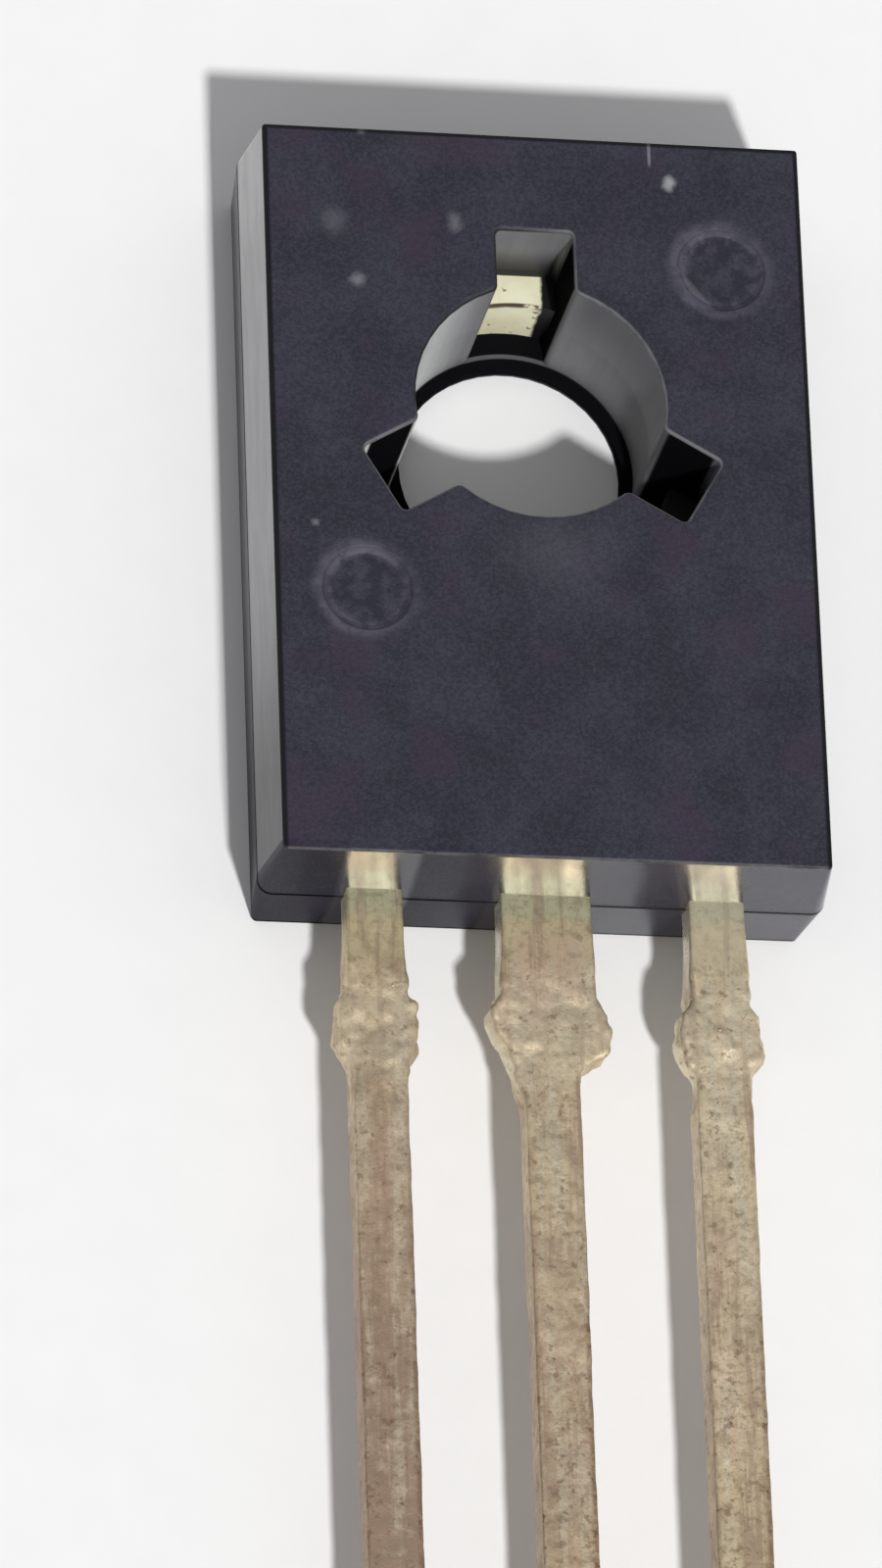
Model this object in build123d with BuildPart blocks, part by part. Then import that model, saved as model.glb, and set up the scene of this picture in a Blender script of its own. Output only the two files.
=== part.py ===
from build123d import *
from math import atan2, degrees, hypot
import os

# A plastic power transistor with a screw hole, lying on its back.
# Black epoxy is moulded round a stamped copper frame that carries the chip and the leads.
# +Z is the normal of the front face, the leads point along -Y, and the origin is where the axis
# of the screw hole meets the mounting base.

# Moulded body, with its outline taken at the parting line where the two halves of the mould meet
body_width = 7.6
body_height = 10.8
body_thickness = 2.5
parting_height = 1.25
front_inset = 0.15
back_inset = 0.12
corner_radius = 0.19
front_edge_radius = 0.03
back_edge_radius = 0.05

# Screw hole: a full ring at the back, a wider bore above it, and notches left by the hold-down fingers
hole_to_top = 4.05
screw_hole_radius = 1.525
ring_height = 0.2
bore_relief = 0.165
notch_count = 3
notch_width = 1.05
notch_reach = 2.5
notch_corner_radius = 0.08
notch_mouth_radius = 0.12
rim_radius = 0.06

# Ejector-pin marks, shallow round recesses in the front face with a sloping wall round a flat floor
ejector_radius = 0.52
ejector_wall = 0.1
ejector_depth = 0.055
upper_ejector_x = 2.53
upper_ejector_y = 2.05
lower_ejector_x = 2.43
lower_ejector_y = 2.85

# Chip, and the solder that holds it on the pad below the hole
die_size = 1.3
die_thickness = 0.25
die_margin = 0.25
solder_margin = 0.08
solder_thickness = 0.05

# Heat-spreading pad: its back is bare, and a wider layer in front of it locks it in the epoxy
pad_width = 5.6
pad_thickness = 1.1
pad_top_margin = 0.75
pad_corner_radius = 0.4
liner_thickness = 0.38
lock_ledge = 0.25
lock_height = 0.55

# Leads, stamped from one strip, with the stubs of the bar that joined them during moulding
lead_pitch = 2.29
lead_width = 0.74
wide_lead_width = 1.2
lead_thickness = 0.5
lead_length = 15.5
stub_start = 1.43
stub_end = 2.42
stub_proud = 0.14
stub_shoulder = 0.12
stub_slope = 0.25
tip_chamfer = 0.1

# On the left of the middle lead the bar was cut at a long slant, which starts below the top of the stub
slant_start = 0.25
slant_length = 1.2

# Bent neck of the middle lead, as a share of the way from the pad to the bottom of the body
neck_share = 0.3

# Bonding posts at the inner ends of the outer leads, below the pad
# The post takes a share of the way to the bottom of the body, and its corners a share of its length at most
post_width = 1.5
post_gap = 0.35
post_share = 0.6
post_corner_radius = 0.2
post_corner_share = 0.4

# Bond wires, with their places on the chip as shares of its size from its middle
wire_diameter = 0.2
wire_loop_rise = 0.5
wire_shoulder = 0.28
wire_post_inset = 0.35
emitter_bond_shares = (-0.2, 0.08)
base_bond_shares = (0.3, -0.22)

# Places that follow from the sizes above
body_top = hole_to_top
body_bottom = body_top - body_height
body_middle = (body_top + body_bottom) / 2
bore_radius = screw_hole_radius + bore_relief
pad_hole_radius = bore_radius + liner_thickness
die_y = -(pad_hole_radius + die_margin + die_size / 2)
solder_top = pad_thickness + solder_thickness
die_top = solder_top + die_thickness
pad_top = body_top - pad_top_margin
pad_bottom = die_y - die_size / 2 - die_margin
pad_length = pad_top - pad_bottom
pad_middle = (pad_top + pad_bottom) / 2
lead_bottom = parting_height - lead_thickness / 2
lead_top = lead_bottom + lead_thickness
lead_tip = body_bottom - lead_length
stub_top = body_bottom - stub_start
stub_low = body_bottom - stub_end
slant_high = stub_top - slant_start
neck_top = pad_bottom - lock_ledge
neck_low = neck_top - neck_share * (neck_top - body_bottom)
post_top = neck_top - post_gap
post_length = post_share * (post_top - body_bottom)
post_middle = post_top - post_length / 2
post_rounding = min(post_corner_radius, post_corner_share * post_length)
loop_height = max(die_top, lead_top) + wire_loop_rise

os.makedirs("parts", exist_ok=True)


def draw_lead(inner_end, root_width, left_high, left_low):
    """Draws a lead in the open sketch: root, bar stubs, the left one sloping between two heights, and shank."""
    half_root = root_width / 2
    half_stub = half_root + stub_proud
    half_shank = lead_width / 2
    with Locations((0, inner_end)):
        Rectangle(root_width, inner_end - stub_top, align=(Align.CENTER, Align.MAX))
    Polygon(
        (-half_root, stub_top),
        (-half_stub, stub_top - stub_shoulder),
        (-half_stub, left_high),
        (-half_shank, left_low),
        (half_shank, stub_low),
        (half_stub, stub_low + stub_slope),
        (half_stub, stub_top - stub_shoulder),
        (half_root, stub_top),
        align=None,
    )
    with Locations((0, stub_low)):
        Rectangle(lead_width, stub_low - lead_tip, align=(Align.CENTER, Align.MAX))


# Collector frame: pad, bent neck and middle lead in one stamped piece
with BuildPart() as collector_frame:
    with BuildSketch():
        with Locations((0, pad_middle)):
            RectangleRounded(pad_width, pad_length, pad_corner_radius)
    extrude(amount=pad_thickness)
    with BuildSketch(Plane.XY.offset(lock_height)):
        with Locations((0, pad_middle)):
            RectangleRounded(
                pad_width + 2 * lock_ledge,
                pad_length + 2 * lock_ledge,
                pad_corner_radius + lock_ledge,
            )
    extrude(amount=pad_thickness - lock_height)
    with BuildSketch():
        Circle(pad_hole_radius)
    extrude(amount=pad_thickness, mode=Mode.SUBTRACT)
    # The neck is bent up from the pad to the level of the leads
    with BuildSketch(Plane.YZ):
        with BuildLine():
            Polyline(
                (pad_bottom, pad_thickness),
                (neck_top, pad_thickness),
                (neck_low, lead_top),
                (neck_low, lead_bottom),
                (neck_top, pad_thickness - lead_thickness),
                (pad_bottom, pad_thickness - lead_thickness),
                close=True,
            )
        make_face()
    extrude(amount=wide_lead_width / 2, both=True)
    with BuildSketch(Plane.XY.offset(lead_bottom)):
        draw_lead(neck_low, wide_lead_width, slant_high, slant_high - slant_length)
    extrude(amount=lead_thickness)
    tip = collector_frame.faces().sort_by(Axis.Y)[0]
    chamfer(tip.edges().filter_by(Axis.X), length=tip_chamfer)
collector_frame.part.label = "collector_frame"
export_step(collector_frame.part, "parts/collector_frame.step")

# Outer leads, each a strip that ends in a wide bonding post inside the body
outer_leads = []
for name, lead_x in (("emitter_lead", -lead_pitch), ("base_lead", lead_pitch)):
    with BuildPart() as outer_lead:
        with BuildSketch(Plane((lead_x, 0, lead_bottom))):
            with Locations((0, post_middle)):
                RectangleRounded(post_width, post_length, post_rounding)
            draw_lead(post_middle, lead_width, stub_low + stub_slope, stub_low)
        extrude(amount=lead_thickness)
        tip = outer_lead.faces().sort_by(Axis.Y)[0]
        chamfer(tip.edges().filter_by(Axis.X), length=tip_chamfer)
    outer_lead.part.label = name
    export_step(outer_lead.part, f"parts/{name}.step")
    outer_leads.append(outer_lead)

# Solder layer under the chip
with BuildPart() as die_attach_solder:
    with BuildSketch(Plane.XY.offset(pad_thickness)):
        with Locations((0, die_y)):
            Rectangle(die_size + 2 * solder_margin, die_size + 2 * solder_margin)
    extrude(amount=solder_thickness)
die_attach_solder.part.label = "die_attach_solder"
export_step(die_attach_solder.part, "parts/die_attach_solder.step")

# Silicon chip
with BuildPart() as silicon_die:
    with BuildSketch(Plane.XY.offset(solder_top)):
        with Locations((0, die_y)):
            Rectangle(die_size, die_size)
    extrude(amount=die_thickness)
silicon_die.part.label = "silicon_die"
export_step(silicon_die.part, "parts/silicon_die.step")

# Bond wires, each an arch with sloping shoulders that stands on the chip and on the post of its lead
bond_wires = []
for name, side, (x_share, y_share) in (
    ("emitter_bond_wire", -1, emitter_bond_shares),
    ("base_bond_wire", 1, base_bond_shares),
):
    chip_foot = Vector(x_share * die_size, die_y + y_share * die_size, die_top)
    post_foot = Vector(side * (lead_pitch - wire_post_inset), post_middle, lead_top)
    chip_crown = Vector(chip_foot.X, chip_foot.Y, loop_height)
    post_crown = Vector(post_foot.X, post_foot.Y, loop_height)
    along = (post_crown - chip_crown).normalized() * wire_shoulder
    down = Vector(0, 0, -wire_shoulder)
    with BuildPart() as bond_wire:
        with BuildLine():
            Polyline(
                chip_foot,
                chip_crown + down,
                chip_crown + along,
                post_crown - along,
                post_crown + down,
                post_foot,
            )
        with BuildSketch(Plane(chip_foot)):
            Circle(wire_diameter / 2)
        sweep(transition=Transition.RIGHT)
    bond_wire.part.label = name
    export_step(bond_wire.part, f"parts/{name}.step")
    bond_wires.append(bond_wire)

# Moulded body: two drafted halves, the notched screw hole, and room for everything cast into it
with BuildPart() as moulded_body:
    with BuildSketch(Plane.XY.offset(parting_height)) as parting_outline:
        with Locations((0, body_middle)):
            RectangleRounded(body_width, body_height, corner_radius)
    front_height = body_thickness - parting_height
    extrude(amount=front_height, taper=degrees(atan2(front_inset, front_height)))
    extrude(
        parting_outline.sketch,
        amount=-parting_height,
        taper=degrees(atan2(back_inset, parting_height)),
    )
    fillet(moulded_body.faces().sort_by(Axis.Z)[-1].edges(), front_edge_radius)
    fillet(moulded_body.faces().sort_by(Axis.Z)[0].edges(), back_edge_radius)
    # Bore and notches stop at the ring, with rounded mouths where they meet, and the screw hole goes through it
    with BuildSketch(Plane.XY.offset(ring_height)) as hole_outline:
        Circle(bore_radius)
        with PolarLocations(0, notch_count, start_angle=90):
            RectangleRounded(
                notch_reach,
                notch_width,
                notch_corner_radius,
                align=(Align.MIN, Align.CENTER),
            )
        mouths = []
        for corner in hole_outline.vertices():
            on_bore = abs(hypot(corner.X, corner.Y) - bore_radius) < 0.001
            if on_bore and abs(corner.Y) > 0.001:
                mouths.append(corner)
        fillet(mouths, notch_mouth_radius)
    extrude(amount=body_thickness, mode=Mode.SUBTRACT)
    with BuildSketch():
        Circle(screw_hole_radius)
    extrude(amount=ring_height, mode=Mode.SUBTRACT)
    front_face = moulded_body.faces().sort_by(Axis.Z)[-1]
    fillet(front_face.inner_wires()[0].edges(), rim_radius)
    with Locations(
        (upper_ejector_x, upper_ejector_y, body_thickness),
        (-lower_ejector_x, -lower_ejector_y, body_thickness),
    ):
        Cone(
            ejector_radius,
            ejector_radius + ejector_wall,
            ejector_depth,
            align=(Align.CENTER, Align.CENTER, Align.MAX),
            mode=Mode.SUBTRACT,
        )
    for inner in (collector_frame, *outer_leads, die_attach_solder, silicon_die, *bond_wires):
        add(inner.part, mode=Mode.SUBTRACT)
moulded_body.part.label = "moulded_body"
export_step(moulded_body.part, "parts/moulded_body.step")
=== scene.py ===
from math import radians

import bmesh
import bpy
from mathutils import Matrix, Quaternion, Vector


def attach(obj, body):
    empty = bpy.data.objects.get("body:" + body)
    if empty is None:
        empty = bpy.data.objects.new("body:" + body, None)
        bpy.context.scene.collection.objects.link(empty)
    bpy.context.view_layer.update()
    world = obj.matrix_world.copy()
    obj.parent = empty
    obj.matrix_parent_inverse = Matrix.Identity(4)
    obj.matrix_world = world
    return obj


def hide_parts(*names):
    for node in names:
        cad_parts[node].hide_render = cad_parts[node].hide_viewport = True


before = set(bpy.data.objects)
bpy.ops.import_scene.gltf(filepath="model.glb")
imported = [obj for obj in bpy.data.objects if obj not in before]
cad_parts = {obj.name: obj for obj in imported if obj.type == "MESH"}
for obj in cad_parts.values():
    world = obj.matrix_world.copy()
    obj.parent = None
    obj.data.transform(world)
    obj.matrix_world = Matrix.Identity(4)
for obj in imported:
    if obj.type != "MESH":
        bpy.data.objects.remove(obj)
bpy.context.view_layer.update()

bpy.context.scene.view_settings.view_transform = "Standard"

# Frame and leads: three strips stamped from copper sheet, the middle one bent up from the pad that carries
# the chip. They were dipped in tin, which rounds the stamped edges, gathers in lumps on the stubs of the bar
# that joined the strips during moulding, and has tarnished to a mottled tan.
MM = 0.001
sealed_end = -6.3
body_bottom = -6.75
root_middle = -7.75
stub_middle = -8.68
shank_top = -9.6
lead_tip = -22.25
lead_pitch = 2.29
half_lead = 0.37
half_root = 0.6
lead_face = 1.5
pad_hole = 2.07
pad_shade_reach = 2.6
weld_distance = 0.0005
voxel_size = 0.04
sharp_angle = radians(30)
edge_rounding = 8
shank_nodules = 0.15
stub_nodules = 2.0
tin_relief = 0.02
tin_tan = (0.63, 0.505, 0.325, 1)
tin_brown = (0.36, 0.27, 0.17, 1)
tin_pale = (0.82, 0.74, 0.555, 1)
tin_rose = (0.63, 0.455, 0.325, 1)
tin_root = (0.67, 0.57, 0.335, 1)
tin_green = (0.56, 0.60, 0.39, 1)
tin_aged = (0.38, 0.27, 0.20, 1)
tin_rust = (0.25, 0.15, 0.095, 1)
tin_pit = (0.10, 0.07, 0.05, 1)
pad_brass_and_glint = (0.98, 0.96, 0.70, 1)
pad_dull = (0.88, 0.83, 0.56, 1)
pad_back_grey = (0.60, 0.585, 0.55, 1)
pad_back_pale = (0.78, 0.765, 0.73, 1)
# Near black for the painted shade over the pad in the notches
pad_shade_black = (0.006, 0.006, 0.007, 1)
coat_values = {
    "Lump height": 0.05,
    "Lumps per mm": 1.9,
    "Burr height": 0.08,
    "Burrs per mm": 3.2,
    "Shear height": 0.30,
    "Flare": 0.05,
    "Nodule size": 0.025,
}


class Link:
    """One socket of a node tree. Operators on it add Math nodes, and add() puts in any other node."""

    def __init__(self, socket):
        self.socket = socket

    def add(self, kind, settings, sockets, output=0):
        """Adds a node, sets it up, then feeds its sockets, and gives the output that is asked for."""
        tree = self.socket.id_data
        node = tree.nodes.new(kind)
        for name, setting in settings.items():
            setattr(node, name, setting)
        for name, value in sockets.items():
            for item in value if isinstance(value, list) else [value]:
                if isinstance(item, Link):
                    tree.links.new(item.socket, node.inputs[name])
                else:
                    node.inputs[name].default_value = item
        return Link(node.outputs[output])

    def maths(self, operation, first, second=0.0):
        return self.add("ShaderNodeMath", {"operation": operation}, {0: first, 1: second})

    def __add__(self, other):
        return self.maths("ADD", self, other)

    def __radd__(self, other):
        return self.maths("ADD", other, self)

    def __sub__(self, other):
        return self.maths("SUBTRACT", self, other)

    def __rsub__(self, other):
        return self.maths("SUBTRACT", other, self)

    def __mul__(self, other):
        return self.maths("MULTIPLY", self, other)

    def __rmul__(self, other):
        return self.maths("MULTIPLY", other, self)

    def __abs__(self):
        return self.maths("ABSOLUTE", self)

    def rise(self, low, high):
        """0 below low, 1 above high, and a smooth step between them."""
        settings = {"interpolation_type": "SMOOTHSTEP"}
        return self.add("ShaderNodeMapRange", settings, {"Value": self, "From Min": low, "From Max": high})

    def axis(self, number):
        return self.add("ShaderNodeSeparateXYZ", {}, {0: self}, number)

    def noise(self, scale, detail=3.0, roughness=0.6):
        sockets = {"Vector": self, "Scale": scale, "Detail": detail, "Roughness": roughness}
        return self.add("ShaderNodeTexNoise", {}, sockets)

    def far(self, point=(0, 0, 0)):
        """The distance from a point."""
        return self.add("ShaderNodeVectorMath", {"operation": "DISTANCE"}, {0: self, 1: point}, 1)

    def stretched(self, x, y, z):
        return self.add("ShaderNodeMapping", {}, {"Vector": self, "Scale": (x, y, z)})

    def blend(self, first, second):
        """Mixes two colours, with this value as the share of the second."""
        return self.add("ShaderNodeMix", {"data_type": "RGBA"}, {0: self, 6: first, 7: second}, 2)

    def feed(self, node, name):
        self.socket.id_data.links.new(self.socket, node.inputs[name])


def start_material(name):
    """A new material, its shader, and the place on the piece in millimetres for its pattern."""
    material = bpy.data.materials.new(name)
    material.use_nodes = True
    tree = material.node_tree
    on_piece = Link(tree.nodes.new("ShaderNodeTexCoord").outputs["Object"])
    place = on_piece.add("ShaderNodeVectorMath", {"operation": "SCALE"}, {0: on_piece, "Scale": 1 / MM})
    return material, tree.nodes["Principled BSDF"], place


def raise_surface(height, distance, shader):
    """Feeds a height pattern to the shader's normal. A value of 1 stands for the distance in millimetres."""
    bump = height.add("ShaderNodeBump", {}, {"Strength": 1.0, "Distance": distance * MM, "Height": height})
    bump.feed(shader, "Normal")


tarnished_tin, shader, place = start_material("tarnished_tin")
x = place.axis(0)
y = place.axis(1)
z = place.axis(2)
# Places on the strips
pitches = x * (1 / lead_pitch)
across = x - lead_pitch * pitches.maths("ROUND", pitches)
on_left = 1 - x.rise(-1.6, -1.2)
on_right = x.rise(1.2, 1.6)
in_body = y.rise(body_bottom, body_bottom + 0.1)
beside_body = y.rise(body_bottom - 0.45, body_bottom - 0.15)
at_root = y.rise(body_bottom - 1.2, body_bottom - 0.7)
middle_root = (1 - abs(x).rise(0.35, half_root)) * (1 - abs(y - root_middle).rise(0.2, 0.7))
at_stub = 1 - abs(y - stub_middle).rise(0.4, 0.9)
upper_shank = y.rise(-17.0, -12.0)
down_shank = 1 - y.rise(-14.0, shank_top)
low_shank = 1 - y.rise(-14.0, -10.5)
tip_half = 1 - y.rise(-19.0, -13.0)
left_shank = on_left * (1 - y.rise(shank_top, shank_top + 0.8)) * y.rise(-18.0, -15.0)
side = abs(across).rise(half_lead - 0.02, half_lead + 0.002) * (1 - y.rise(shank_top - 0.3, shank_top + 0.1))
sheared_edge = across.rise(half_lead - 0.10, half_lead - 0.04) + 1 - across.rise(-half_lead, 0.06 - half_lead)
sheared_edge = sheared_edge * (1 - y.rise(shank_top - 0.6, shank_top)) * (1 - 0.7 * side)
# Painted reflection: the lower left flanks of the middle and right shanks are pale, as if they mirrored the
# lit floor
painted_flank_sheen = (1 - z.rise(lead_face - 0.12, lead_face - 0.05)) * (1 - across.rise(-0.3, -0.2))
painted_flank_sheen = painted_flank_sheen * y.rise(shank_top, shank_top + 0.5) * (1 - on_left)
# Patterns of the tarnish
cloud = place.noise(1.5, 4.0)
patch = place.noise(0.8, 2.0)
mottle = place.noise(6.0, 3.0, 0.6)
grain = place.noise(15.0, 4.0, 0.7)
streak = place.stretched(5.5, 0.35, 5.5).noise(1.0, 3.0)
streak = streak + 0.8 * side * (0.5 - streak)
rubbed = (0.6 * streak.rise(0.48, 0.64) + 0.4 * mottle.rise(0.53, 0.68)) * (1 - 0.7 * at_root)
cells = place.add("ShaderNodeTexVoronoi", {}, {"Vector": place, "Scale": 3.0})
pit = (1 - cells.rise(0.03, 0.13)) * place.noise(1.9, 1.0).rise(0.50, 0.56) * (1 - at_root)
rust = place.noise(8.5, 2.0).rise(0.60, 0.70) * (1 - 0.6 * at_root)
rust = rust + low_shank * place.noise(5.0, 3.0, 0.7).rise(0.56, 0.66)
rust = rust + 1.2 * low_shank * sheared_edge * mottle.rise(0.42, 0.54)
aged = (0.32 - 0.18 * x) * down_shank + (0.12 + 0.05 * x) * tip_half + 0.35 * left_shank
# Colour of the leads, from the ground tone to the marks on top of it, and a painted reflection on the left
# flanks
colour = (0.25 + 0.75 * cloud.rise(0.36, 0.60)).blend(tin_brown, tin_tan)
colour = (patch.rise(0.46, 0.62) * 0.6).blend(colour, tin_rose)
colour = (at_root * 0.8).blend(colour, tin_root)
colour = (beside_body * 0.62).blend(colour, tin_green)
colour = (middle_root * 0.7).blend(colour, tin_rose)
colour = aged.blend(colour, tin_aged)
colour = (sheared_edge * (0.25 + 0.5 * place.noise(1.6).rise(0.4, 0.6))).blend(colour, tin_brown)
colour = (rubbed * 0.7 + (0.16 + 0.06 * x) * (1 - at_root) * upper_shank).blend(colour, tin_pale)
colour = ((1 - streak.rise(0.36, 0.47)) * 0.6).blend(colour, tin_aged)
colour = ((1 - mottle.rise(0.36, 0.48)) * 0.45).blend(colour, tin_brown)
colour = ((1 - grain.rise(0.36, 0.52)) * 0.35).blend(colour, tin_brown)
colour = (at_stub * 0.25 + at_root * on_right * 0.35).blend(colour, tin_pale)
colour = (painted_flank_sheen * 0.85).blend(colour, tin_pale)
colour = (rust * 0.55).blend(colour, tin_rust)
colour = (pit * 0.6).blend(colour, tin_pit)
# Colour of the pad: bright metal in the top notch, painted shade over it in the other two notches and in the
# right part of the top one, and a rolled back
from_axis = place.stretched(1.0, 1.0, 0.0).far()
back = in_body * (1 - z.rise(0.02, 0.06))
rolled = place.stretched(18.0, 0.5, 1.0).noise(1.0, 4.0, 0.7)
back_share = 0.5 * rolled.rise(0.35, 0.65) + 0.5 * place.noise(0.9, 4.0).rise(0.4, 0.6)
smut = (1 - place.noise(5.0, 2.0).rise(0.31, 0.37)) * 0.8
hole_edge = (1 - abs(from_axis - pad_hole).rise(0.012, 0.035)) * z.rise(0.98, 1.06)
# Painted shade: near black over the pad in the two lower notches, and a painted shadow over the right part of
# the top notch
painted_notch_shadow = (x + 0.12 * place.noise(3.0)).rise(0.37, 0.43) * y.rise(0.8, 1.2)
painted_pad_shade = (1 - from_axis.rise(pad_shade_reach, pad_shade_reach + 0.05)) * (1 - y.rise(0.2, 0.8) + painted_notch_shadow)
painted_pad_shade = painted_pad_shade * in_body * (1 - back)
# The pale brass is near white: partly its own colour, partly a painted glint
pad_colour = cloud.rise(0.3, 0.7).blend(pad_dull, pad_brass_and_glint)
pad_colour = (smut + hole_edge * place.noise(4.0).rise(0.40, 0.50)).blend(pad_colour, tin_pit)
pad_colour = back.blend(pad_colour, back_share.blend(pad_back_grey, pad_back_pale))
pad_colour = painted_pad_shade.blend(pad_colour, pad_shade_black)
in_body.blend(colour, pad_colour).feed(shader, "Base Color")
# Gloss and relief
lead_rough = 0.47 + 0.14 * cloud + 0.16 * grain + 0.2 * pit - 0.22 * at_root
lead_rough = lead_rough - 0.12 * rubbed - 0.14 * side - 0.12 * painted_flank_sheen * (1 - in_body)
(lead_rough - 0.01 * in_body - back * (0.12 + 0.1 * rolled)).feed(shader, "Roughness")
lead_metal = (0.78 + 0.15 * rubbed - 0.3 * pit - 0.14 * at_root) * (1 - in_body)
(lead_metal + 0.12 * in_body + 0.75 * back - 0.12 * painted_pad_shade).feed(shader, "Metallic")
relief = 0.35 * grain + 0.3 * mottle + 0.6 * streak - 0.2 * pit
raise_surface(relief * (1 - 0.9 * at_root) * (1 - in_body) + 0.25 * back * rolled, tin_relief, shader)

# The coat is a node tree, so that the same dip runs over all three strips
tin_coat = bpy.data.node_groups.new("tin_coat", "GeometryNodeTree")
tin_coat.interface.new_socket("Strip", in_out="OUTPUT", socket_type="NodeSocketGeometry")
tin_coat.interface.new_socket("Strip", in_out="INPUT", socket_type="NodeSocketGeometry")
coat_inputs = {}
for name in (*coat_values, "Seed"):
    coat_inputs[name] = tin_coat.interface.new_socket(name, in_out="INPUT", socket_type="NodeSocketFloat")
given = tin_coat.nodes.new("NodeGroupInput")
strip = Link(given.outputs["Strip"])
seed = Link(given.outputs["Seed"])
where = Link(tin_coat.nodes.new("GeometryNodeInputPosition").outputs[0])
outward = Link(tin_coat.nodes.new("GeometryNodeInputNormal").outputs[0])
sideways = abs(outward.axis(0))
along = where.axis(1)
dipped = 1 - along.rise(body_bottom - 0.5, body_bottom - 0.15)
near_stub = 1 - abs(along - stub_middle).rise(0.45, 0.95)
off_tip = along.rise(lead_tip, lead_tip + 0.4)


def seeded_noise(scale):
    """A noise over the strip that differs from seed to seed."""
    sockets = {"Vector": where, "W": seed, "Scale": scale, "Detail": 2.0, "Roughness": 0.55}
    return where.add("ShaderNodeTexNoise", {"noise_dimensions": "4D"}, sockets)


burr_scale = Link(given.outputs["Burrs per mm"])
lumps = (seeded_noise(Link(given.outputs["Lumps per mm"])) - 0.55) * Link(given.outputs["Lump height"])
burrs = (seeded_noise(burr_scale) - 0.5) * Link(given.outputs["Burr height"])
sheared = sideways * near_stub * Link(given.outputs["Shear height"])
ragged = (seeded_noise(burr_scale * 0.8) - 0.5) * sheared
gathered = (1 - along.rise(stub_middle + 0.5, body_bottom - 0.2)) * along.rise(stub_middle - 0.6, stub_middle)
flare = sideways * gathered * Link(given.outputs["Flare"])
swell = (lumps + burrs * (0.2 + 0.8 * near_stub) + ragged + flare) * dipped * off_tip
offset = outward.add("ShaderNodeVectorMath", {"operation": "SCALE"}, {0: outward, "Scale": swell})
rounded = where.add(
    "GeometryNodeBlurAttribute",
    {"data_type": "FLOAT_VECTOR"},
    {"Value": where, "Iterations": edge_rounding, "Weight": near_stub * dipped},
)
coated = strip.add("GeometryNodeSetPosition", {}, {"Geometry": strip, "Position": rounded, "Offset": offset})
density = dipped * (shank_nodules + stub_nodules * near_stub) * off_tip
spots = coated.add(
    "GeometryNodeDistributePointsOnFaces",
    {},
    {"Mesh": coated, "Density": density, "Seed": 4},
)
nodule = strip.add("GeometryNodeMeshIcoSphere", {}, {"Radius": 1.0, "Subdivisions": 2})
size = strip.add("FunctionNodeRandomValue", {"data_type": "FLOAT"}, {2: 0.35, 3: 1.0, "Seed": 7}, 1)
nodules = spots.add(
    "GeometryNodeInstanceOnPoints",
    {},
    {"Points": spots, "Instance": nodule, "Scale": size * Link(given.outputs["Nodule size"])},
)
whole = coated.add("GeometryNodeJoinGeometry", {}, {0: [coated, nodules]})
whole = whole.add("GeometryNodeRealizeInstances", {}, {0: whole})
whole = whole.add("GeometryNodeSetShadeSmooth", {}, {0: whole})
whole = whole.add("GeometryNodeSetMaterial", {}, {0: whole, "Material": tarnished_tin})
whole.feed(tin_coat.nodes.new("NodeGroupOutput"), "Strip")


def cut_strip(node, outside):
    """A CAD node's shape in millimetres, cut inside the moulding: its outer or its sealed part, closed."""
    shape = bmesh.new()
    shape.from_mesh(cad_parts[node].data)
    shape.transform(Matrix.Scale(1 / MM, 4))
    bmesh.ops.remove_doubles(shape, verts=shape.verts, dist=weld_distance)
    cut = bmesh.ops.bisect_plane(
        shape,
        geom=[*shape.verts, *shape.edges, *shape.faces],
        plane_co=(0, sealed_end, 0),
        plane_no=(0, 1, 0),
        clear_outer=outside,
        clear_inner=not outside,
    )
    rim = [item for item in cut["geom_cut"] if isinstance(item, bmesh.types.BMEdge)]
    bmesh.ops.holes_fill(shape, edges=rim)
    bmesh.ops.recalc_face_normals(shape, faces=shape.faces)
    return shape


def settle(piece):
    """Turns what the piece's modifiers make into its plain mesh."""
    made = piece.evaluated_get(bpy.context.evaluated_depsgraph_get())
    mesh = bpy.data.meshes.new_from_object(made)
    piece.modifiers.clear()
    piece.data = mesh


strips = (
    ("collector_frame", "frame_and_middle_lead", 1.0),
    ("emitter_lead", "left_lead", 2.0),
    ("base_lead", "right_lead", 3.0),
)
for node, name, strip_seed in strips:
    outer = cut_strip(node, True)
    mesh = bpy.data.meshes.new(name)
    outer.to_mesh(mesh)
    outer.free()
    piece = bpy.data.objects.new(name, mesh)
    bpy.context.scene.collection.objects.link(piece)
    remesh = piece.modifiers.new("even_mesh", "REMESH")
    remesh.mode = "VOXEL"
    remesh.voxel_size = voxel_size
    settle(piece)
    coat = piece.modifiers.new("tin_coat", "NODES")
    coat.node_group = tin_coat
    for setting, value in coat_values.items():
        coat[coat_inputs[setting].identifier] = value
    coat[coat_inputs["Seed"].identifier] = strip_seed
    settle(piece)
    # The sealed part joins the coated one with its CAD shape and its sharp edges
    whole_strip = cut_strip(node, False)
    for face in whole_strip.faces:
        face.smooth = True
    for edge in whole_strip.edges:
        edge.smooth = edge.calc_face_angle(0) < sharp_angle
    whole_strip.from_mesh(piece.data)
    for face in whole_strip.faces:
        face.material_index = 0
    whole_strip.to_mesh(piece.data)
    whole_strip.free()
    piece.data.materials.clear()
    piece.data.materials.append(tarnished_tin)
    piece.data.transform(Matrix.Scale(MM, 4))
    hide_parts(node)
    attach(piece, "root")

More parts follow.
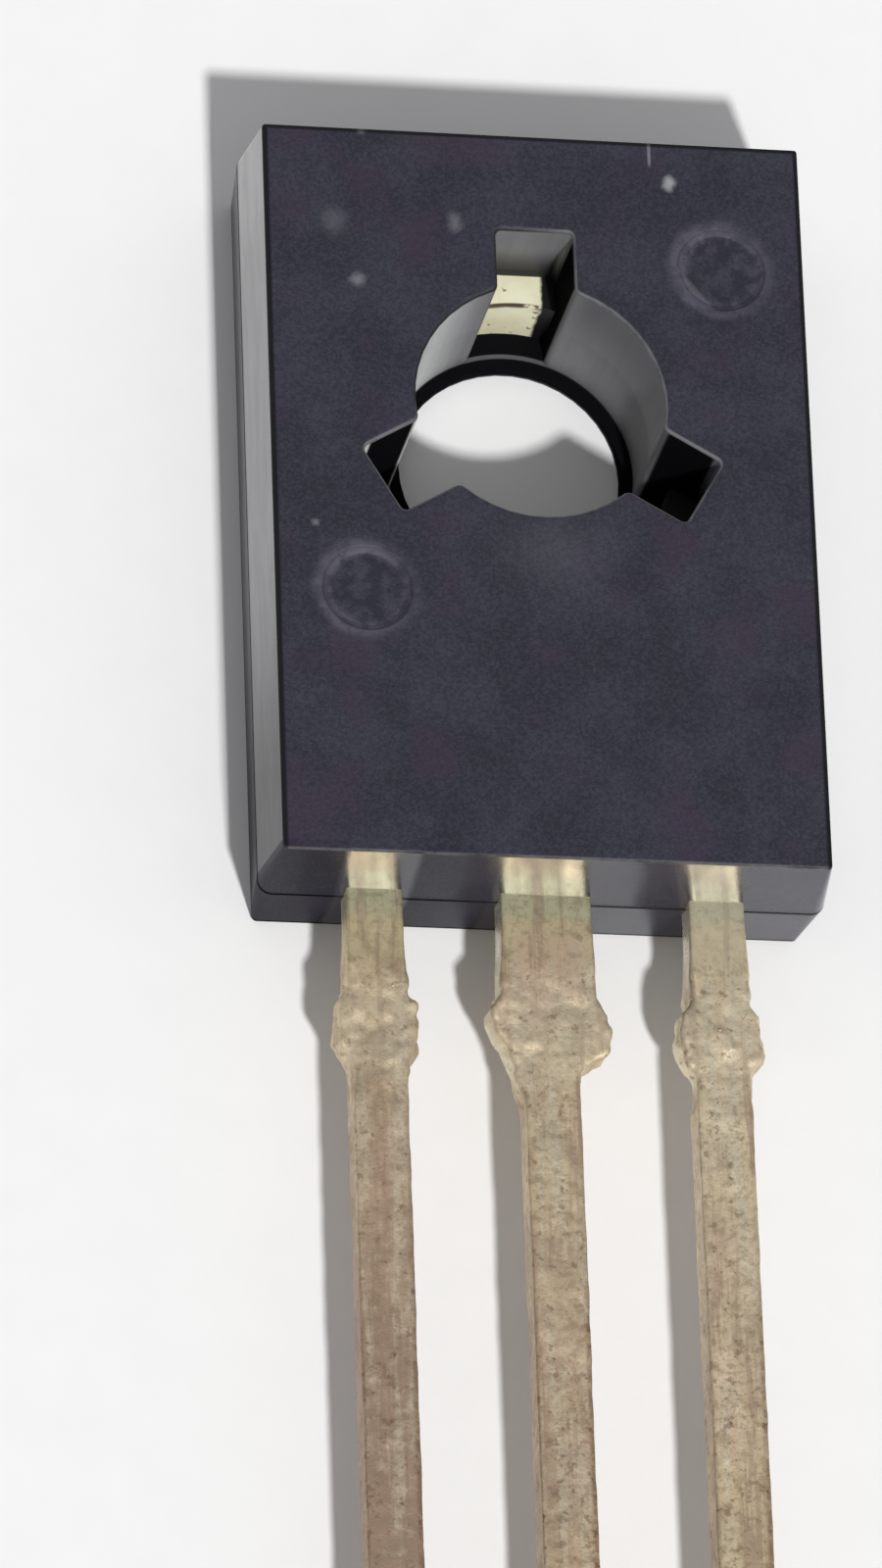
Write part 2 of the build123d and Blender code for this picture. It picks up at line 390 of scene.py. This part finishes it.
# Chip: a sawn square of silicon with a fine metal pattern on its face, soldered to the pad, and two drawn
# aluminium wires that are pressed on to it and on to the posts of the outer leads. The moulding hides them.
solder_grey = (0.42, 0.42, 0.43, 1)
solder_pale = (0.60, 0.60, 0.60, 1)
silicon_dark = (0.10, 0.10, 0.13, 1)
silicon_metal = (0.55, 0.55, 0.57, 1)
wire_grey = (0.68, 0.68, 0.69, 1)
wire_pale = (0.82, 0.82, 0.83, 1)
chip_solder, shader, place = start_material("chip_solder")
place.noise(6.0).rise(0.35, 0.65).blend(solder_grey, solder_pale).feed(shader, "Base Color")
(0.45 + 0.2 * place.noise(9.0)).feed(shader, "Roughness")
shader.inputs["Metallic"].default_value = 1.0

silicon, shader, place = start_material("silicon")
bands = place.add("ShaderNodeTexWave", {"wave_type": "BANDS"}, {"Vector": place, "Scale": 1.6})
fingers = bands.rise(0.45, 0.55)
fingers.blend(silicon_dark, silicon_metal).feed(shader, "Base Color")
(0.18 + 0.1 * place.noise(5.0)).feed(shader, "Roughness")
(0.3 + 0.6 * fingers).feed(shader, "Metallic")

wire_aluminium, shader, place = start_material("wire_aluminium")
place.noise(12.0).blend(wire_grey, wire_pale).feed(shader, "Base Color")
(0.3 + 0.15 * place.noise(20.0)).feed(shader, "Roughness")
shader.inputs["Metallic"].default_value = 1.0

for node, material in (
    ("die_attach_solder", chip_solder),
    ("silicon_die", silicon),
    ("emitter_bond_wire", wire_aluminium),
    ("base_bond_wire", wire_aluminium),
):
    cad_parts[node].material_slots[0].material = material

# Body: black epoxy with a mineral filler, pressed into a two-part mould round the frame. The front face takes
# the fine matt grain of the mould, the drafted sides and the hole slid off polished walls, and handling has
# left pale specks. Paler rims and a pale left wall in the hole are painted light, and darkened edges and
# recesses are painted shade.
front_height = 2.5
parting_height = 1.25
ring_height = 0.2
bore_radius = 1.69
notch_reach = 2.5
hole_reach = 2.8
half_face = 3.65
face_top = 3.9
lower_edge = -6.5
lower_left = (-3.8, body_bottom, 0.0)
pin_marks = ((2.53, 2.05, front_height), (-2.43, -2.85, front_height))
pin_radius = 0.52
pin_offset = 2.48
scratch_x = 1.61
scratch_low = 3.5
face_relief = 0.008
epoxy_black = (0.004, 0.004, 0.014, 1)
epoxy_grey = (0.026, 0.026, 0.044, 1)
epoxy_plum = (0.026, 0.010, 0.034, 1)
epoxy_rim_highlight = (0.13, 0.13, 0.14, 1)
epoxy_scuff = (0.32, 0.32, 0.34, 1)
epoxy_dragged = (0.185, 0.185, 0.195, 1)
bore_painted_shade = (0.095, 0.095, 0.105, 1)
bore_painted_light = (0.72, 0.73, 0.72, 1)
epoxy_lilac = (0.060, 0.056, 0.082, 1)
# Near black of the parting seam and the ring at the back of the hole, also used for painted shade
seam_and_shade_black = (0.004, 0.004, 0.005, 1)
# Pale specks and two faint smears on the front face: place, radius and strength of each
specks = (
    (1.874, 3.329, 0.10, 0.80),
    (1.850, 3.240, 0.08, 0.60),
    (-2.428, 1.650, 0.12, 0.40),
    (-2.734, 2.504, 0.22, 0.14),
    (-1.072, 2.521, 0.12, 0.25),
    (-1.090, 2.640, 0.11, 0.18),
    (-2.319, 3.880, 0.07, 0.30),
    (-3.100, -1.926, 0.06, 0.30),
    (-0.25, -2.20, 0.70, 0.035),
    (0.35, -2.20, 0.70, 0.045),
)
speck_fade = 1.3

moulding, shader, place = start_material("moulding_compound")
x = place.axis(0)
y = place.axis(1)
z = place.axis(2)
# Places on the body
in_plan = place.stretched(1.0, 1.0, 0.0)
from_axis = in_plan.far()
front = z.rise(front_height - 0.07, front_height - 0.035)
back = 1 - z.rise(0.02, 0.05)
near_hole = 1 - from_axis.rise(hole_reach, hole_reach + 0.05)
in_hole = near_hole * (1 - front) * (1 - back)
at_notch_end = from_axis.rise(notch_reach - 0.10, notch_reach - 0.04)
notch_side = in_hole * from_axis.rise(bore_radius + 0.05, bore_radius + 0.11) * (1 - at_notch_end)
notch_foot = in_hole * at_notch_end * (1 - z.rise(1.2, 2.0))
ledge = (1 - abs(from_axis - (bore_radius + 0.03)).rise(0.02, 0.05)) * (1 - back)
ring = in_hole * (1 - z.rise(ring_height + 0.005, ring_height + 0.03)) * (1 - back) * (1 - 0.7 * ledge)
foot = (1 - z.rise(0.04, 0.12)) * (1 - back)
painted_contact_shadow = foot * (1 - in_hole)
seam = (1 - abs(z - parting_height).rise(0.012, 0.035)) * (1 - in_hole)
above_seam = z.rise(parting_height, parting_height + 0.1)
to_upper_pin = place.far(pin_marks[0])
to_lower_pin = place.far(pin_marks[1])
to_pin = to_upper_pin.maths("MINIMUM", to_upper_pin, to_lower_pin)
in_pin = 1 - to_pin.rise(pin_radius + 0.02, pin_radius + 0.14)
pin_rim = to_pin.rise(pin_radius - 0.1, pin_radius + 0.06)
pin_rim = pin_rim * (1 - to_pin.rise(pin_radius + 0.10, pin_radius + 0.28))
beside_pin = x - pin_offset * x.maths("SIGN", x)
edge = z.rise(front_height - 0.075, front_height - 0.05) * (1 - in_pin)
edge = edge * (1 - z.rise(front_height - 0.012, front_height - 0.002))
hole_rim = edge * near_hole
# Painted shade: the rim of the hole is dark on its upper left
dark_rim = hole_rim * (1 - x.rise(-0.3, 0.6)) * y.rise(-0.6, 0.0)
outer_edge = edge - hole_rim
lower_end = 1 - y.rise(lower_edge, lower_edge + 0.05)
border = abs(x).rise(half_face - 0.08, half_face - 0.04)
border = border.maths("MAXIMUM", border, y.rise(face_top - 0.08, face_top - 0.04)) * front
above_leads = 2 - abs(x + lead_pitch).rise(half_lead + 0.05, half_lead + 0.18)
above_leads = above_leads - abs(x).rise(half_root + 0.04, half_root + 0.16)
dull_end = lower_end * (1 - x.rise(-3.0, 1.5)) * (1 - above_leads)
upper_left = y.rise(0.0, 4.0) * (1 - x.rise(-3.2, -3.0))
scratch = (1 - abs(x - scratch_x).rise(0.005, 0.035)) * y.rise(scratch_low, scratch_low + 0.12) * front
matt = front.maths("MAXIMUM", front, in_pin) + back * (1 - in_hole)
side_wall = (1 - matt) * (1 - in_hole)
# Patterns of the compound and its wear
filler = place.noise(23.0, 4.0, 0.7)
cloud = place.noise(1.1, 3.0)
tint = place.noise(0.9, 2.0)
drag = place.stretched(7.0, 7.0, 0.6).noise(1.0, 2.0)
pin_floor = place.noise(4.5, 3.0).rise(0.42, 0.60)
rim_noise = place.noise(2.5).rise(0.3, 0.6)
smear = place.stretched(3.0, 0.7, 5.0).noise(1.0, 4.0, 0.65).rise(0.35, 0.65)
wobble = (place.noise(11.0, 3.0) - 0.5) * 0.1
# Colour, from the compound to the wear, painted light and painted shade on top of it
ground = filler.rise(0.38, 0.64) * 0.75 + cloud.rise(0.35, 0.65) * 0.4 - 0.12
colour = ground.blend(epoxy_black, epoxy_grey)
colour = (tint.rise(0.52, 0.7) * 0.5).blend(colour, epoxy_plum)
colour = (in_pin * (1 - pin_floor) * 0.7).blend(colour, epoxy_black)
lit_rim = pin_rim * (0.4 + 0.5 * pin_floor) * (1.6 - 1.0 * beside_pin.rise(-0.45, 0.45))
colour = (lit_rim + in_pin * pin_floor * 0.2).blend(colour, epoxy_lilac)
# Painted shade: the outer edges and the border of the front face are near black
colour = outer_edge.maths("MAXIMUM", outer_edge, 0.85 * border).blend(colour, seam_and_shade_black)
colour = (dark_rim * 0.9).blend(colour, seam_and_shade_black)
# Painted highlight: the rim of the hole, except its upper left, and the lower edge of the face are paler in
# patches
painted_rim_highlight = lower_end * outer_edge * rim_noise * 0.5 + (hole_rim - dark_rim) * (0.4 + 0.5 * rim_noise)
colour = painted_rim_highlight.blend(colour, epoxy_rim_highlight)
# Hole walls: grey from drag, with painted light on the left wall (near white) and painted shade on the right
# wall, darker towards the front face
right_wall = (z.rise(0.7, 2.3) * x.rise(0.4, 0.8)).blend(epoxy_dragged, bore_painted_shade)
bore_wall_light_and_shade = (1 - x.rise(-1.5, -0.6)).blend(right_wall, bore_painted_light)
colour = (in_hole * (0.7 + 0.3 * drag)).blend(colour, bore_wall_light_and_shade)
# Painted shade: the notch walls are near black, and the notch ends darker towards the back
colour = (notch_side * 0.97 + notch_foot * 0.85).blend(colour, seam_and_shade_black)
colour = ring.blend(colour, seam_and_shade_black)
# The parting seam is dark; along the foot of the outer walls is a painted contact shadow
colour = (seam + painted_contact_shadow).blend(colour, seam_and_shade_black)
for speck_x, speck_y, radius, strength in specks:
    reach = place.far((speck_x, speck_y, front_height))
    speck = (1 - (reach + wobble).rise(0.0, radius * speck_fade)) * strength
    colour = speck.blend(colour, epoxy_scuff)
colour = (scratch * 0.4).blend(colour, epoxy_scuff)
colour.feed(shader, "Base Color")
# Gloss and relief
rough = 0.2 + 0.36 * matt + 0.1 * filler * matt + 0.3 * in_hole + 0.4 * seam + 0.1 * pin_rim
(rough + 0.3 * dull_end + 0.1 * (1 - above_seam) + 0.2 * foot).feed(shader, "Roughness")
polish = side_wall * (1 - seam) * (0.05 + 0.55 * above_seam)
polish = polish * (1 - 0.6 * dull_end) * (1 + 0.4 * upper_left)
polish = polish * (1 + (0.2 - 0.36 * smear) * y.rise(lower_edge, lower_edge + 0.1))
polish.feed(shader, "Coat Weight")
shader.inputs["Coat Roughness"].default_value = 0.12
shader.inputs["IOR"].default_value = 1.55
raise_surface(filler * (0.25 + 0.75 * matt), face_relief, shader)
# Painted shade: the notch walls and the foot of the notch ends, the border of the face, a contact shadow
# along the foot of the walls, and the walls at the lower left and beside the leads are mixed towards a flat
# black with no gloss. The parting seam and the ring at the back of the hole take the same flat black.
gloss = Link(shader.outputs["BSDF"])
flat_black = gloss.add(
    "ShaderNodeBsdfPrincipled", {}, {"Base Color": seam_and_shade_black, "Roughness": 1.0, "Specular IOR Level": 0.0}
)
painted_wall_shade = 0.45 * (1 - in_plan.far(lower_left).rise(1.0, 5.0)) * side_wall * (1 - above_leads)
dark = notch_side + 0.6 * notch_foot + ring + 0.6 * border + 0.6 * seam + 0.7 * painted_contact_shadow + painted_wall_shade
dark = dark.maths("MINIMUM", dark, 0.97)
body_surface = gloss.add("ShaderNodeMixShader", {}, {0: dark, 1: gloss, 2: flat_black})
body_surface.feed(moulding.node_tree.nodes["Material Output"], "Surface")
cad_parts["moulded_body"].material_slots[0].material = moulding

# Floor, light and camera: a plain pale floor under the part, one sun lamp beyond the tips of the leads and a
# little to their right, a sky that is palest at the horizon, and a camera that looks down on the front face
# from the foot of the leads.
floor_reach = 4.0
floor_drop = 0.02
floor_grey = (0.83, 0.83, 0.825, 1)
floor_pale = (0.87, 0.87, 0.865, 1)
floor_mesh = bpy.data.meshes.new("floor")
signs = ((-1, -1), (1, -1), (1, 1), (-1, 1))
corners = [(sign_x * floor_reach, sign_y * floor_reach, 0) for sign_x, sign_y in signs]
floor_mesh.from_pydata(corners, [], [(0, 1, 2, 3)])
floor = bpy.data.objects.new("floor", floor_mesh)
floor.location.z = -floor_drop * MM
bpy.context.scene.collection.objects.link(floor)
floor_finish, shader, place = start_material("floor_finish")
place.noise(1.2).blend(floor_grey, floor_pale).feed(shader, "Base Color")
shader.inputs["Roughness"].default_value = 0.8
floor_mesh.materials.append(floor_finish)

aim = Vector((-1.301, -5.081, 1.25)) * MM
to_lamp = Vector((0.100, -0.626, 0.773)).normalized()
lamp_distance = 0.5
lamp = bpy.data.lights.new("lamp", "SUN")
lamp.energy = 2.9
lamp.angle = radians(3.5)
lamp_stand = bpy.data.objects.new("lamp", lamp)
lamp_stand.location = aim + to_lamp * lamp_distance
lamp_stand.rotation_euler = to_lamp.to_track_quat("Z", "Y").to_euler()
bpy.context.scene.collection.objects.link(lamp_stand)

horizon_pale = (0.86, 0.86, 0.86, 1)
overhead_grey = (0.36, 0.36, 0.37, 1)
sky = bpy.data.worlds.new("sky")
sky.use_nodes = True
upward = Link(sky.node_tree.nodes.new("ShaderNodeTexCoord").outputs["Generated"]).axis(2)
sky_colour = upward.rise(0.06, 0.32).blend(horizon_pale, overhead_grey)
sky_colour.feed(sky.node_tree.nodes["Background"], "Color")
bpy.context.scene.world = sky

camera = bpy.data.cameras.new("camera")
camera.lens = 257.18
camera.sensor_width = 36
camera.clip_start = 0.005
camera.clip_end = 10
camera_stand = bpy.data.objects.new("camera", camera)
to_camera = Vector((-25.820, -58.118, 133.451)) * MM
camera_stand.location = aim + to_camera
camera_roll = Quaternion((0, 0, 1), radians(24.159))
camera_stand.rotation_euler = (to_camera.to_track_quat("Z", "Y") @ camera_roll).to_euler()
bpy.context.scene.collection.objects.link(camera_stand)
bpy.context.scene.camera = camera_stand
